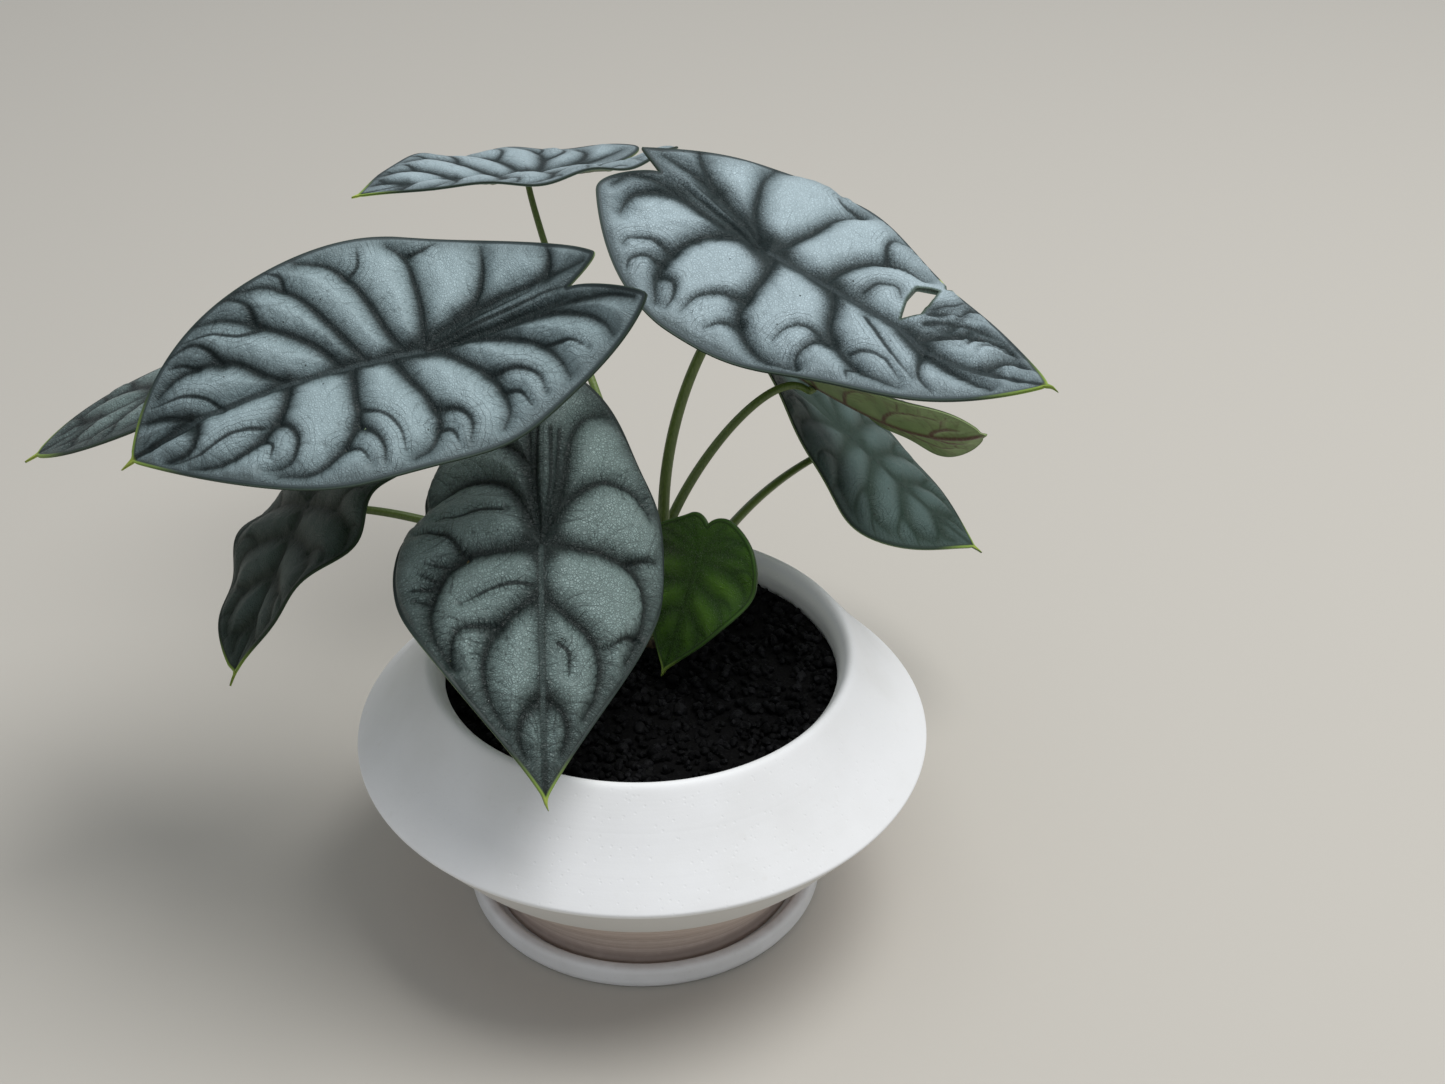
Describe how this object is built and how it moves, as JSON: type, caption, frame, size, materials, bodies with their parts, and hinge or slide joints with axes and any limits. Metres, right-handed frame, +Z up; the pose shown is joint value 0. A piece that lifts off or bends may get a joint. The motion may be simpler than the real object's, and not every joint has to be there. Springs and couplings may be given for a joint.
{
  "type": "potted house plant",
  "caption": "Potted aroid with thick quilted silver shield leaves on slender stalks, in a wide-shouldered white pot that stands in a saucer.",
  "frame": {"origin": "centre of the saucer's underside, on the surface that it stands on", "axes": "+Z up along the pot's axis, -Y to the front, where the picture was taken from, +X to the right"},
  "size_m": [0.3394, 0.3295, 0.2489],
  "materials": {
    "saucer": "satin white glaze",
    "pot": "matte white glaze over pinkish clay, bare at the neck",
    "soil": "dry, crumbly, near black",
    "crown": "fibrous",
    "silver_leaf": "leathery, silver sheen with dark veins",
    "shaded_leaf": "leathery, dull silver with dark veins",
    "dark_leaf": "leathery, dark green with grey panels",
    "pale_underside": "soft, light olive underside with dark red ribs",
    "young_leaf": "glossy deep green",
    "stalk": "smooth, olive green"
  },
  "bodies": {
    "root": {"saucer": "saucer", "pot": "pot", "soil": "soil", "crown": "crown", "leaf_left": "silver_leaf", "leaf_right": "silver_leaf", "leaf_front": "shaded_leaf", "leaf_top": "silver_leaf", "leaf_far_left": "shaded_leaf", "leaf_low_left": "dark_leaf", "leaf_low_right": "dark_leaf", "leaf_under_right": "pale_underside", "leaf_small": "young_leaf", "stalk_left": "stalk", "stalk_right": "stalk", "stalk_front": "stalk", "stalk_top": "stalk", "stalk_far_left": "stalk", "stalk_low_left": "stalk", "stalk_low_right": "stalk", "stalk_under_right": "stalk", "stalk_small": "stalk"}
  },
  "joints": []
}
